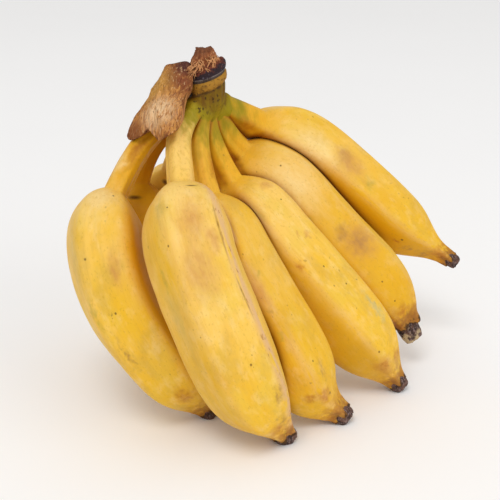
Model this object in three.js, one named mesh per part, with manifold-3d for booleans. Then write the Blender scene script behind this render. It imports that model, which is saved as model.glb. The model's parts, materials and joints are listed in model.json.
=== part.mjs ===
// A hand of short, thick ripe bananas standing on its tips, crown up. Millimetres, Z up, floor at z = 0,
// front along -Y. Eight fruits hang from one crown: six in the outer row, two in the inner row.
import * as THREE from "three";
import { mergeVertices } from "three/addons/utils/BufferGeometryUtils.js";
import Module from "manifold-3d";

const wasm = await Module();
wasm.setup();
const { Manifold } = wasm;

// Air left between two pieces that touch in the fruit.
const GAP = 0.3;
const FLOOR = { width: 400, depth: 60 };

// Sweep resolution: points round a fruit, rings along its neck, and ring places along its body from the
// shoulder (0) to the end of the path (1), closer together where the shape turns quickly.
const SIDES = 20;
const NECK_STEPS = 4;
const BODY_STEPS = [
  0, 0.02, 0.045, 0.075, 0.11, 0.15, 0.2, 0.27, 0.36, 0.45, 0.54, 0.63, 0.71, 0.78, 0.84, 0.88, 0.92, 0.96, 1,
];

// Fruit form.
const ROOT_THINNING = 1.8;
const SHOULDER_SHARE = 0.27;
const SHOULDER_POWER = 3.8;
const RIDGES = 5;
const RIDGE_POWER = 7;
const MERGE_TOLERANCE = 0.0005;

// Withered flower end that closes each fruit: its width at each share of its length, and how ragged it is.
const END_OVERHANG = 2.5;
const END_SIDES = 12;
const END_SHARES = [0, 0.2, 0.5, 0.8, 1];
const END_WIDTHS = [0.9, 1.04, 1.03, 0.96, 0.84];
const END_LOBES = 0.13;
const END_NICKS = 0.08;

// Each fruit: centre line from inside the crown to the tip, the way its back faces, its neck and girth
// radius, where along the line the neck ends, how long the taper is, its flower end's length and width, its
// tip's radius, how sharply the taper turns into a beak, and the turn of its ridges in degrees.
const FINGERS = [
  {
    name: "outer_2",
    path: [
      [-37, 18, 144], [-45, 3, 133], [-44, -17, 115], [-38, -44, 91], [-26, -55, 62], [-13, -55, 30],
      [4, -47, 2],
    ],
    back: [-0.3, -1, 0.1], neck: 6.3, radius: 19.3, shoulder: 0.265, taper: 0.165, end: [2.9, 1.08],
    tip: 5, beak: 1.8, phase: 36,
  },
  {
    name: "outer_3",
    path: [
      [-35, 18, 144], [-38, 11, 128], [-35, 3, 109], [-23, -14, 81], [-3, -26, 48], [16, -30, 17],
      [32, -29, 3],
    ],
    back: [0.35, -1, 0.3], neck: 6.3, radius: 18, shoulder: 0.265, taper: 0.165, end: [2.9, 1.08],
    tip: 5, beak: 2.1, phase: 36,
  },
  {
    name: "outer_4",
    path: [
      [-34, 20, 144], [-33, 19, 130], [-27, 17, 113], [-10, 11, 89], [16, 3, 60], [42, 1, 29], [62, 3, 3],
    ],
    back: [0.7, -0.7, 0.5], neck: 6.2, radius: 18, shoulder: 0.235, taper: 0.165, end: [2.9, 1.08],
    tip: 4.7, beak: 2, phase: 0,
  },
  {
    name: "outer_5",
    path: [
      [-32, 22, 144], [-28, 27, 132], [-18, 33, 116], [6, 34, 97], [29, 31, 72], [55, 29, 45], [71, 29, 18],
    ],
    back: [0.8, 0.1, 0.7], neck: 6.8, radius: 17, shoulder: 0.205, taper: 0.165, end: [10.5, 1.22],
    tip: 4.9, beak: 1.8, phase: 0,
  },
  {
    name: "outer_6",
    path: [
      [-31, 26, 142], [-18, 38, 132], [-5, 48, 123], [14, 55, 113], [40, 57, 91], [64, 57, 70], [95, 55, 49],
    ],
    back: [0.5, 0.5, 0.8], neck: 7.4, radius: 16.5, shoulder: 0.2, taper: 0.2, end: [3, 1.02],
    tip: 3.9, beak: 2.4, phase: 0,
  },
  {
    name: "outer_1",
    path: [
      [-39, 20, 142], [-60, 10, 130], [-73, -5, 112], [-79, -19, 94], [-72, -31, 64], [-54, -31, 35],
      [-32, -23, 2],
    ],
    back: [-1, -0.35, 0.1], neck: 5.8, radius: 17.5, shoulder: 0.32, taper: 0.165, end: [3.2, 1.08],
    tip: 4.9, beak: 1.9, phase: 0,
  },
  {
    name: "inner_1",
    path: [
      [-39, 26, 140], [-60, 27, 121], [-68, 25, 100], [-66, 21, 71], [-59, 19, 42], [-49, 19, 20],
      [-39, 21, 2],
    ],
    back: [-1, 0.6, 0], neck: 6, radius: 16.5, shoulder: 0.31, taper: 0.165, end: [2.9, 1.08],
    tip: 4.9, beak: 1.9, phase: 0,
  },
  {
    name: "inner_2",
    path: [
      [-37, 28, 142], [-46, 38, 119], [-54, 49, 92], [-50, 57, 63], [-36, 61, 36], [-21, 61, 15], [-6, 59, 2],
    ],
    back: [0, 1, 0.2], neck: 6, radius: 16.5, shoulder: 0.28, taper: 0.165, end: [2.9, 1.08],
    tip: 4.9, beak: 1.9, phase: 0,
  },
];

// Crown: oval rings from its cut top down into the middle of the necks. Each row is x, y, z, the two half
// widths and how far the ring rises per millimetre towards +X. BACK_RISE is the share of that towards +Y.
const CROWN_RINGS = [
  [-33, 23, 156.3, 8.2, 8.2, 0.34],
  [-33, 23, 155.4, 9.1, 8.9, 0.34],
  [-33, 23, 152.6, 9.2, 9, 0.33],
  [-33.3, 23, 150.9, 8.5, 8.3, 0.32],
  [-33.6, 23, 148.8, 9, 8.9, 0.26],
  [-34.5, 23, 143, 9.6, 9.8, 0.1],
  [-35, 23, 137.5, 8.2, 8.8, 0],
  [-35.5, 23, 132, 5.6, 6.2, 0],
  [-36, 23, 128, 3, 3.4, 0],
];
const BACK_RISE = 0.5;
const CROWN_SIDES = 24;
const CROWN_SMOOTH_ROWS = 4;
const CROWN_RIBS = 0.05;

// Cut end of the bunch stalk on the crown: a dark disc with a torn stump of dry fibre on it, rows as above.
const STALK_RINGS = [
  [-34.4, 23, 169.9, 3.9, 3.3, 0],
  [-34.4, 23, 167.6, 4.3, 3.8, 0],
  [-34.5, 23, 165, 5.2, 4.8, 0.1],
  [-34.5, 23, 162.8, 6.2, 5.9, 0.2],
  [-33.6, 23, 160.6, 7.2, 7, 0.34],
  [-33, 23, 158.4, 8.5, 8.3, 0.34],
  [-33, 23, 156.8, 8.9, 8.7, 0.34],
];
const STALK_SIDES = 20;
const STALK_ROUGHNESS = 0.1;
const STALK_SMOOTH_ROWS = 3;
const PEAK = { height: 0.7, spacing: 0.94, phase: 3, depth: 0.5 };

// Dry husk over the left front of the crown: points round its edge, its middle, how far its front bulges out
// there, and how far its back reaches in before the crown and necks cut it.
const HUSK_EDGE = [
  [-49, 21, 162], [-42, 20, 163], [-40, 13, 154], [-42, 8, 151], [-44, -2, 146], [-45, -8, 140],
  [-46, -9, 138], [-51, -11, 135], [-54, -9, 133], [-57, -4, 134], [-59, -1, 136], [-64, 0, 132],
  [-69, 3, 130], [-70, 5, 131], [-67, 12, 138], [-61, 17, 146], [-59, 21, 151], [-55, 22, 156],
  [-52, 22, 161],
];
const HUSK_MIDDLE = [-54, 8, 146];
const HUSK_OUTWARD = [-0.55, -0.8, 0.25];
const HUSK_BULGE = 4;
const HUSK_DEPTH = 13;
const HUSK_RIM = 1.2;
const HUSK_FULLNESS = 0.8;
const HUSK_CREASE = 0.5;
const HUSK_SIDES = 28;
const HUSK_RINGS = 14;

const SKIN = { color: 0xf2c14e, roughness: 0.5, metalness: 0 };
const GREEN = { color: 0xa59a2c, roughness: 0.55, metalness: 0 };
const BARK = { color: 0x9c6136, roughness: 0.85, metalness: 0 };
const WITHERED = { color: 0x33241a, roughness: 0.9, metalness: 0 };

// A closed surface: a sphere's points are moved by place(turn, ring). Turn runs round and ring counts down.
function wrap(sides, rings, place) {
  const shape = new THREE.SphereGeometry(1, sides, rings);
  const at = shape.attributes.position;
  const uv = shape.attributes.uv;
  const point = new THREE.Vector3();
  for (let i = 0; i < at.count; i++) {
    const ring = Math.round((1 - uv.getY(i)) * rings);
    const pole = ring === 0 || ring === rings;
    const turn = pole ? 0 : (Math.round(uv.getX(i) * sides) % sides) / sides;
    place(turn * 2 * Math.PI, ring, pole, point);
    at.setXYZ(i, point.x, point.y, point.z);
  }
  shape.deleteAttribute("normal");
  shape.deleteAttribute("uv");
  return mergeVertices(shape, MERGE_TOLERANCE);
}

function toSolid(shape) {
  return new Manifold(
    new wasm.Mesh({
      numProp: 3,
      vertProperties: new Float32Array(shape.attributes.position.array),
      triVerts: new Uint32Array(shape.index.array),
    }),
  );
}

// Blunt five-sided outline of a fruit, 1 in the middle of each face.
function ridgeFactor(angle) {
  let sum = 0;
  for (let k = 0; k < RIDGES; k++) {
    sum += Math.max(0, Math.cos(angle - (2 * Math.PI * k) / RIDGES)) ** RIDGE_POWER;
  }
  return sum ** (-1 / RIDGE_POWER);
}

function fingerRadius(finger, t) {
  const body = Math.min(Math.max((t - finger.shoulder) / (1 - finger.shoulder), 0), 1);
  const rise = 1 - (1 - Math.min(body / SHOULDER_SHARE, 1)) ** SHOULDER_POWER;
  const fall = 1 - Math.exp(-(((1 - body) / finger.taper) ** finger.beak));
  const thinning = ROOT_THINNING * Math.max(0, 1 - t / finger.shoulder) ** 2;
  const slim = body < SHOULDER_SHARE ? finger.neck - thinning : finger.tip;
  return slim + (finger.radius - slim) * rise * fall;
}

// Sweeps the outline along a fruit's centre line through the given places, each a share of its length.
// Places past 1 go straight on from the tip.
function sweep(finger, places, sides, radiusAt) {
  const curve = new THREE.CatmullRomCurve3(finger.path.map((p) => new THREE.Vector3(...p)));
  const length = curve.getLength();
  const back = new THREE.Vector3(...finger.back);
  const rings = places.length + 1;
  return wrap(sides, rings, (turn, ring, pole, point) => {
    const t = places[Math.min(Math.max(ring - 1, 0), places.length - 1)];
    const inside = Math.min(t, 1);
    const tangent = curve.getTangentAt(inside);
    const up = back.clone().addScaledVector(tangent, -back.dot(tangent)).normalize();
    const across = new THREE.Vector3().crossVectors(tangent, up);
    point.copy(curve.getPointAt(inside)).addScaledVector(tangent, (t - inside) * length);
    if (!pole) {
      const radius = radiusAt(t, turn);
      point.addScaledVector(up, -radius * Math.cos(turn)).addScaledVector(across, radius * Math.sin(turn));
    }
  });
}

function fingerPlaces(finger, end) {
  const places = [];
  for (let k = 0; k < NECK_STEPS; k++) {
    places.push((finger.shoulder * k) / NECK_STEPS);
  }
  for (const step of BODY_STEPS) {
    places.push(Math.min(finger.shoulder + (1 - finger.shoulder) * step, end));
  }
  return places.filter((t, i) => i === 0 || t > places[i - 1]);
}

function pathLength(finger) {
  return new THREE.CatmullRomCurve3(finger.path.map((p) => new THREE.Vector3(...p))).getLength();
}

function makeFinger(finger, grow) {
  const places = fingerPlaces(finger, 1 - finger.end[0] / pathLength(finger));
  const start = Math.PI - THREE.MathUtils.degToRad(finger.phase);
  return toSolid(
    sweep(finger, places, SIDES, (t, turn) => (fingerRadius(finger, t) + grow) * ridgeFactor(turn + start)),
  );
}

// The withered flower: a short dark plug, a little wider than the tip and ragged at its free end.
function makeFlowerEnd(finger, index) {
  const length = pathLength(finger);
  const [depth, width] = finger.end;
  const start = 1 - (depth - GAP) / length;
  const end = 1 + END_OVERHANG / length;
  const places = END_SHARES.map((share) => start + (end - start) * share);
  return toSolid(
    sweep(finger, places, END_SIDES, (t, turn) => {
      const step = places.indexOf(t);
      const lobes = END_LOBES * Math.sin(3 * turn + 1.7 * index);
      const nicks = END_NICKS * Math.cos(5 * turn + index);
      return finger.tip * width * END_WIDTHS[step] * (1 + END_SHARES[step] * (lobes + nicks));
    }),
  );
}

// A stack of oval rings with a wavy outline.
function makeStack(rings, sides, waves) {
  return wrap(sides, rings.length + 1, (turn, ring, pole, point) => {
    const row = Math.min(Math.max(ring - 1, 0), rings.length - 1);
    const [x, y, z, halfX, halfY, slope] = rings[row];
    const size = pole ? 0 : 1 + waves(turn, row);
    const right = halfX * size * Math.cos(turn);
    const back = halfY * size * Math.sin(turn);
    point.set(x + right, y + back, z + slope * (right + BACK_RISE * back));
  });
}

function grownRings(rows, grow) {
  const rings = rows.map(([x, y, z, halfX, halfY, slope]) => [x, y, z, halfX + grow, halfY + grow, slope]);
  rings[0][2] += grow;
  rings[rings.length - 1][2] -= grow;
  return rings;
}

function makeCrown(grow) {
  const rings = grownRings(CROWN_RINGS, grow);
  const ribs = (turn, row) => (row < CROWN_SMOOTH_ROWS ? 0 : CROWN_RIBS * Math.cos(6 * turn + 0.6));
  return toSolid(makeStack(rings, CROWN_SIDES, ribs));
}

function makeStalkEnd(grow) {
  const rough = STALK_RINGS.length - STALK_SMOOTH_ROWS;
  const torn = (turn, row) =>
    row < rough ? STALK_ROUGHNESS * (Math.sin(3 * turn + 0.9 * row) + 0.7 * Math.cos(7 * turn - row)) : 0;
  const rings = grownRings(STALK_RINGS, grow);
  const shape = makeStack(rings, STALK_SIDES, torn);
  const at = shape.attributes.position;
  const [topX, , topZ] = STALK_RINGS[0];
  for (let i = 0; i < at.count; i++) {
    // The torn top has two peaks with a dip between them.
    if (at.getZ(i) > topZ - PEAK.depth) {
      at.setZ(i, topZ + PEAK.height * Math.cos((at.getX(i) - topX) * PEAK.spacing + PEAK.phase));
    }
  }
  return toSolid(shape);
}

// The husk is a thick scab: its front and back meet round the wavy edge.
function makeHusk() {
  const edge = new THREE.CatmullRomCurve3(HUSK_EDGE.map((p) => new THREE.Vector3(...p)), true);
  const middle = new THREE.Vector3(...HUSK_MIDDLE);
  const outward = new THREE.Vector3(...HUSK_OUTWARD).normalize();
  const half = HUSK_RINGS / 2;
  return wrap(HUSK_SIDES, HUSK_RINGS, (turn, ring, pole, point) => {
    const spread = Math.sin((Math.PI * ring) / HUSK_RINGS) ** HUSK_FULLNESS;
    const rim = (Math.sign(half - ring) * HUSK_RIM) / 2;
    const swell = (ring < half ? HUSK_BULGE : -HUSK_DEPTH) * (1 - spread ** 2);
    const crease = HUSK_CREASE * spread * Math.sin(5 * turn);
    point.copy(edge.getPoint(1 - turn / (2 * Math.PI))).sub(middle);
    point.multiplyScalar(pole ? 0 : spread).add(middle).addScaledVector(outward, swell + rim + crease);
  });
}

function toMesh(name, solid, look) {
  const mesh = solid.getMesh();
  const shape = new THREE.BufferGeometry();
  shape.setAttribute("position", new THREE.BufferAttribute(mesh.vertProperties, 3));
  shape.setIndex(new THREE.BufferAttribute(mesh.triVerts, 1));
  const piece = new THREE.Mesh(shape, new THREE.MeshStandardMaterial(look));
  piece.name = name;
  return piece;
}

// The largest body of a solid: cutting can leave crumbs, which are dropped.
function largest(solid) {
  return solid.decompose().reduce((best, body) => (body.volume() > best.volume() ? body : best));
}

const floorBlock = new THREE.BoxGeometry(FLOOR.width, FLOOR.width, FLOOR.depth);
floorBlock.translate(0, 0, -FLOOR.depth / 2);
floorBlock.deleteAttribute("normal");
floorBlock.deleteAttribute("uv");
const floor = toSolid(mergeVertices(floorBlock, MERGE_TOLERANCE));

const hand = new THREE.Group();
hand.name = "banana_hand";

const crown = makeCrown(0);
hand.add(toMesh("crown", crown, GREEN));
hand.add(toMesh("stalk_end", makeStalkEnd(0), WITHERED));

// Fruits are cut where they press on the crown and on the fruits made before them.
const grown = [makeCrown(GAP)];
FINGERS.forEach((finger, index) => {
  let fruit = makeFinger(finger, 0).subtract(floor);
  for (const other of grown) {
    fruit = fruit.subtract(other);
  }
  hand.add(toMesh(`finger_${finger.name}`, largest(fruit), SKIN));
  grown.push(makeFinger(finger, GAP));
  const flowerEnd = makeFlowerEnd(finger, index).subtract(floor);
  hand.add(toMesh(`flower_end_${finger.name}`, largest(flowerEnd), WITHERED));
});

let husk = toSolid(makeHusk());
for (const other of [...grown, makeStalkEnd(GAP)]) {
  husk = husk.subtract(other);
}
hand.add(toMesh("crown_husk", largest(husk), BARK));

export default hand;
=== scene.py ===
"""Looks of a hand of short thick ripe bananas that stands on its tips, crown up, in a plain pale studio.

Lengths in the tables are millimetres. Meshes are in metres, Z up, with the floor at z = 0.
"""
import json
import math
import random

import bmesh
import bpy
from bpy.props import FloatProperty, FloatVectorProperty, IntProperty, PointerProperty
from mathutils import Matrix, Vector, noise
from mathutils.bvhtree import BVHTree

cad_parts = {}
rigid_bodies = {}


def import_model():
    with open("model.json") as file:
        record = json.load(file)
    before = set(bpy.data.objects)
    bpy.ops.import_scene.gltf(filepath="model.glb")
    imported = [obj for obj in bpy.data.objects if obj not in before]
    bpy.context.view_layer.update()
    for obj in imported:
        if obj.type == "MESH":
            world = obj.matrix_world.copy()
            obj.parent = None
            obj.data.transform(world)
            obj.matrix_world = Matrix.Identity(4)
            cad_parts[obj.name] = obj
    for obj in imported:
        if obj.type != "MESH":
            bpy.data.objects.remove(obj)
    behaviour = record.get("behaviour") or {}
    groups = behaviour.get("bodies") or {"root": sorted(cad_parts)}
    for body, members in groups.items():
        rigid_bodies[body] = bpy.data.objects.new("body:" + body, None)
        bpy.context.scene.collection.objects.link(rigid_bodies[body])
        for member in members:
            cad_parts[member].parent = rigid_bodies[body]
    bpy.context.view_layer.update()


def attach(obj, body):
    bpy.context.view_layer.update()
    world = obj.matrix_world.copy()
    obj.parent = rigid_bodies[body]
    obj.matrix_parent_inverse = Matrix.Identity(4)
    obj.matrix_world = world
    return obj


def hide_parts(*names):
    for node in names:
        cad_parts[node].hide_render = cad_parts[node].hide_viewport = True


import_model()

bl_info = {
    "name": "Hand of bananas",
    "version": (1, 0, 0),
    "blender": (4, 5, 0),
    "location": "3D View > Sidebar > Bananas",
    "description": "Peel, crown, husk, torn stalk and flower ends of a hand of bananas, in a plain studio",
    "category": "Object",
}

MM = 0.001

# Form of every fruit, shared with the solids.
RIDGES = 5
RIDGE_POWER = 7
ROOT_THINNING = 1.8
SHOULDER_SHARE = 0.27
SHOULDER_POWER = 3.8
END_OVERHANG = 2.5
GAP = 0.3

# What most fruits share: how long the taper is as a share of the line, the flower end's length and width,
# the tip's radius, how sharply the taper turns into a beak, the turn of the ridges in degrees, how chafed
# they are, how pale the neck is or, below 0, how much painted shade browns it, how torn the peel's rim is,
# and the turn of the crest.
USUAL = {
    "taper": 0.165, "end": (2.9, 1.08), "tip": 4.9, "beak": 1.9, "phase": 0, "worn": 0.2, "pale": 0.1,
    "torn": 0.0, "crest": 144,
}

# Each fruit, in the order in which the later ones give way to the earlier: the radius of its neck and its
# girth, where the neck ends as a share of the line, the way its back faces, how deep a gold each face has
# (from the outer face round), which is painted shade on the faces turned from the light and partly the
# peel's own tone, what is not as usual, its centre line from the crown to the tip, and its marks.
# A mark is a kind, a place (mm along, degrees round) and a size (mm along, mm round).
FRUITS = [{**USUAL, **own} for own in (
    {
        "name": "outer_2", "neck": 6.3, "radius": 19.3, "shoulder": 0.265, "back": (-0.3, -1, 0.1),
        "faces": (0.0, 0.3, 0.05, 0.0, 0.35), "tip": 5, "beak": 1.8, "phase": 36, "worn": 0.95,
        "pale": 1.0, "crest": 252,
        "path": [(-37, 18, 144), (-45, 3, 133), (-44, -17, 115), (-38, -44, 91),
                 (-26, -55, 62), (-13, -55, 30), (4, -47, 2)],
        "marks": [
            ("bruise", 76, 214, 11, 10), ("bruise", 93, 208, 17, 13), ("bruise", 84, 236, 8, 5),
            ("tinge_and_shade", 108, 150, 24, 8), ("olive", 92, 154, 5, 3), ("crease", 58, 226, 1.0, 3.6),
            ("olive", 70, 178, 5, 4), ("speck", 132, 222, 0.8, 0.7), ("speck", 70, 188, 0.5, 0.5),
            ("speck", 83, 180, 0.5, 0.5), ("split", 78, 246, 20, 0.7), ("split", 108, 247, 12, 0.6),
            ("scuff", 152, 240, 9, 3.0), ("scuff", 168, 225, 8, 5), ("rust", 170, 205, 7, 6),
        ],
    },
    {
        "name": "outer_3", "neck": 6.3, "radius": 18, "shoulder": 0.265, "back": (0.35, -1, 0.3),
        "faces": (0.35, 0.4, 0.7, 0.1, 0.2), "tip": 5, "beak": 2.1, "phase": 36, "worn": 0.35,
        "pale": 0.25, "crest": 180,
        "path": [(-35, 18, 144), (-38, 11, 128), (-35, 3, 109), (-23, -14, 81),
                 (-3, -26, 48), (16, -30, 17), (32, -29, 3)],
        "marks": [
            ("olive", 89, 188, 2.5, 2), ("olive", 105, 177, 2.5, 2.2), ("olive", 116, 172, 3, 2),
            ("scuff", 141, 206, 9, 3.5), ("rust", 148, 158, 5, 4), ("rust", 152, 185, 7, 6),
            ("bruise", 96, 176, 14, 6), ("speck", 133, 196, 0.7, 0.6), ("speck", 154, 200, 0.9, 0.9),
            ("hollow", 32, 240, 11, 4),
        ],
    },
    {
        "name": "outer_4", "neck": 6.2, "radius": 18, "shoulder": 0.235, "back": (0.7, -0.7, 0.5),
        "faces": (0.05, 0.3, 0.5, 0.6, 0.6), "tip": 4.7, "beak": 2,
        "path": [(-34, 20, 144), (-33, 19, 130), (-27, 17, 113), (-10, 11, 89),
                 (16, 3, 60), (42, 1, 29), (62, 3, 3)],
        "marks": [
            ("bruise", 84, 188, 2.6, 2.4), ("bruise", 80, 176, 2.4, 2.0), ("bruise", 52, 200, 5, 5),
            ("bluish", 130, 197, 13, 3.4), ("rust", 155, 140, 10, 8), ("rust", 158, 190, 7, 6),
            ("speck", 112, 184, 0.7, 0.6), ("speck", 99, 172, 0.7, 0.6), ("speck", 146, 150, 0.8, 0.7),
            ("speck", 62, 196, 0.6, 0.6), ("hollow", 36, 100, 9, 5), ("olive", 60, 146, 8, 1.6),
            ("rust", 92, 142, 4, 2.4),
        ],
    },
    {
        "name": "outer_5", "neck": 6.8, "radius": 17, "shoulder": 0.2, "back": (0.8, 0.1, 0.7),
        "faces": (0.1, 0.2, 0.6, 0.9, 0.5), "end": (10.5, 1.22), "beak": 1.8, "torn": 1.0,
        "path": [(-32, 22, 144), (-28, 27, 132), (-18, 33, 116), (6, 34, 97),
                 (29, 31, 72), (55, 29, 45), (71, 29, 18)],
        "marks": [
            ("wax", 62, 112, 28, 14), ("bruise", 106, 120, 17, 12), ("brown", 106, 121, 9, 8),
            ("brown", 96, 110, 6, 6), ("speck", 128, 100, 0.7, 0.6), ("speck", 140, 96, 0.7, 0.6),
            ("speck", 52, 120, 0.7, 0.6), ("rust", 148, 100, 6, 5), ("olive", 82, 80, 4, 3),
            ("hollow", 34, 52, 10, 5),
        ],
    },
    {
        "name": "outer_6", "neck": 8, "radius": 16.5, "shoulder": 0.2, "back": (0.5, 0.5, 0.8),
        "faces": (0.0, 0.2, 0.4, 0.95, 0.25), "taper": 0.2, "end": (3, 1.02), "tip": 3.9, "beak": 2.4,
        "worn": 0.25, "crest": 72,
        "path": [(-31, 26, 142), (-18, 38, 132), (-5, 48, 123), (14, 55, 113),
                 (40, 57, 91), (64, 57, 70), (95, 55, 49)],
        "marks": [
            ("brown", 79, 104, 6, 6), ("wax", 62, 84, 26, 12), ("bruise", 84, 100, 15, 10),
            ("olive", 98, 96, 6, 5), ("scuff", 138, 36, 8, 3), ("scuff", 148, 30, 9, 4),
            ("rust", 130, 44, 5, 2), ("speck", 132, 52, 1.2, 0.8), ("rust", 156, 60, 7, 5),
            ("speck", 42, 60, 2, 0.8), ("hollow", 20, 62, 13, 6), ("hollow", 35, 48, 10, 5),
        ],
    },
    {
        "name": "outer_1", "neck": 5.8, "radius": 17.5, "shoulder": 0.32, "back": (-1, -0.35, 0.1),
        "faces": (0.1, 0.0, 0.95, 0.7, 0.3), "end": (3.2, 1.08), "pale": 0.05, "crest": 288,
        "path": [(-39, 20, 142), (-60, 10, 130), (-73, -5, 112), (-79, -19, 94),
                 (-72, -31, 64), (-54, -31, 35), (-32, -23, 2)],
        "marks": [
            ("gold", 92, 298, 36, 9), ("wax", 66, 236, 17, 15), ("wax", 47, 212, 11, 5),
            ("speck", 90, 224, 0.7, 0.7), ("speck", 112, 244, 0.7, 0.7), ("scuff", 128, 228, 12, 1.6),
            ("olive", 110, 214, 12, 2.4), ("bruise", 96, 262, 12, 5), ("rust", 160, 260, 10, 6),
            ("speck", 64, 262, 0.8, 0.7), ("tinge_and_shade", 88, 204, 24, 9), ("hollow", 36, 262, 18, 4),
        ],
    },
    {
        "name": "inner_1", "neck": 6, "radius": 16.5, "shoulder": 0.31, "back": (-1, 0.6, 0),
        "faces": (0.2, 0.3, 0.8, 0.9, 0.4), "worn": 0.3, "pale": -1.0,
        "path": [(-39, 26, 140), (-60, 27, 121), (-68, 25, 100), (-66, 21, 71),
                 (-59, 19, 42), (-49, 19, 20), (-39, 21, 2)],
        "marks": [
            ("crease", 54, 300, 1.5, 5), ("bruise", 84, 130, 12, 8), ("olive", 104, 90, 16, 4),
            ("speck", 96, 160, 1.0, 0.9), ("rust", 132, 150, 8, 6),
        ],
    },
    {
        "name": "inner_2", "neck": 6, "radius": 16.5, "shoulder": 0.28, "back": (0, 1, 0.2),
        "faces": (0.1, 0.3, 0.7, 0.8, 0.4), "worn": 0.35, "pale": 0.6, "crest": 216,
        "path": [(-37, 28, 142), (-46, 38, 119), (-54, 49, 92), (-50, 57, 63),
                 (-36, 61, 36), (-21, 61, 15), (-6, 59, 2)],
        "marks": [
            ("crease", 48, 340, 1.2, 3), ("bruise", 78, 190, 10, 8), ("brown", 108, 160, 6, 6),
            ("speck", 90, 210, 1.0, 0.9), ("rust", 142, 180, 8, 6), ("olive", 96, 130, 14, 3),
        ],
    },
)]

# Crown rings from the cut top down: x, y, z, half widths, and the rise per millimetre towards +X, of which
# BACK_RISE is the share towards +Y.
CROWN_RINGS = [
    (-33, 23, 156.3, 8.2, 8.2, 0.34), (-33, 23, 155.4, 9.1, 8.9, 0.34), (-33, 23, 152.6, 9.2, 9, 0.33),
    (-33.3, 23, 150.9, 8.5, 8.3, 0.32), (-33.6, 23, 148.8, 9, 8.9, 0.26), (-34.5, 23, 143, 9.6, 9.8, 0.1),
    (-35, 23, 137.5, 8.2, 8.8, 0), (-35.5, 23, 132, 5.6, 6.2, 0), (-36, 23, 128, 3, 3.4, 0),
]
BACK_RISE = 0.5
COLLAR = {"x": -33.3, "y": 23, "slope": 0.33, "crease": 150.9}

# Torn stalk from the top of the stump down to the dark cut disc, rows as above.
STALK_RINGS = [
    (-34.4, 23, 169.9, 3.9, 3.3, 0), (-34.4, 23, 167.6, 4.3, 3.8, 0), (-34.6, 23, 165, 5.4, 4.9, 0.1),
    (-34.9, 23, 162.8, 6.5, 5.8, 0.2), (-34, 23, 160.6, 7.3, 6.7, 0.34), (-33, 23, 158.9, 8.1, 7.9, 0.34),
    (-33, 23, 157.9, 8.8, 8.6, 0.34), (-33, 23, 157, 8.9, 8.7, 0.34), (-33, 23, 155.8, 8.5, 8.3, 0.34),
]
STALK_TOP = {"x": -34.4, "y": 23, "z": 169.9, "height": 0.2, "spacing": 0.7, "phase": -2.2}

# Dry husk: points round its edge, its middle, and the way its front faces.
HUSK_EDGE = [
    (-49, 21, 162), (-42, 20, 163), (-40, 13, 154), (-42, 8, 151), (-44, -2, 146), (-45, -8, 140),
    (-46, -9, 138), (-51, -11, 135), (-54, -9, 133), (-57, -4, 134), (-59, -1, 136), (-64, 0, 132),
    (-69, 3, 130), (-70, 5, 131), (-67, 12, 138), (-61, 17, 146), (-59, 21, 151), (-55, 22, 156),
    (-52, 22, 161),
]
HUSK_MIDDLE = (-54, 8, 146)
HUSK_OUTWARD = (-0.55, -0.8, 0.25)
HUSK_BULGE = 4
HUSK_DEPTH = 13
HUSK_RIM = 1.2
HUSK_FULLNESS = 0.8


def linear(code):
    """An sRGB hex colour as linear red, green, blue and alpha."""
    parts = [int(code[i:i + 2], 16) / 255 for i in (0, 2, 4)]
    return (*(c / 12.92 if c <= 0.04045 else ((c + 0.055) / 1.055) ** 2.4 for c in parts), 1.0)


def clamp(value, low=0.0, high=1.0):
    return max(low, min(high, value))


def smooth(value, low, high):
    """0 below low, 1 above high, and an even S between them."""
    x = clamp((value - low) / (high - low))
    return x * x * (3 - 2 * x)


class PeelSettings(bpy.types.PropertyGroup):
    sides: IntProperty(name="Sides", description="Faces round a fruit", default=128, min=24)
    rings: IntProperty(name="Rings", description="Faces along a fruit", default=190, min=40)
    dents: FloatProperty(
        name="Dents", description="Depth of the peel's slow dents", default=0.4 * MM, unit="LENGTH",
        precision=5)
    seams: FloatProperty(
        name="Ridge seams", description="Height of the seam on each ridge", default=0.26 * MM, unit="LENGTH",
        precision=5)
    yellow: FloatVectorProperty(
        name="Yellow", description="Ripe peel", subtype="COLOR", size=4, default=linear("ECBA2A"))
    # Cream is partly the peel's wax bloom and partly painted light on the upper parts.
    cream: FloatVectorProperty(
        name="Cream", description="Waxy pale peel", subtype="COLOR", size=4, default=linear("F6CF80"))
    gold: FloatVectorProperty(
        name="Gold", description="Deep yellow peel", subtype="COLOR", size=4, default=linear("DE9F0A"))
    green: FloatVectorProperty(
        name="Green", description="Neck near the crown", subtype="COLOR", size=4, default=linear("8D7E06"))


class CrownSettings(bpy.types.PropertyGroup):
    grain: FloatProperty(
        name="Surface grain", description="Edge length of the crown's faces", default=0.55 * MM,
        unit="LENGTH", precision=5)
    reach: FloatProperty(
        name="Reach", description="How far the crown's flesh runs down each neck", default=13 * MM,
        unit="LENGTH")


class StageSettings(bpy.types.PropertyGroup):
    key_power: FloatProperty(
        name="Key light", description="Power of the soft light from above the front", default=24.5,
        subtype="POWER", unit="POWER")
    fill_power: FloatProperty(
        name="Fill light", description="Power of the soft light from the right", default=12.0,
        subtype="POWER", unit="POWER")
    surround: FloatProperty(
        name="Surround", description="Brightness of the white room", default=0.7)
    floor: FloatVectorProperty(
        name="Floor", description="Pale floor", subtype="COLOR", size=4, default=linear("FCFBFA"))


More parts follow.
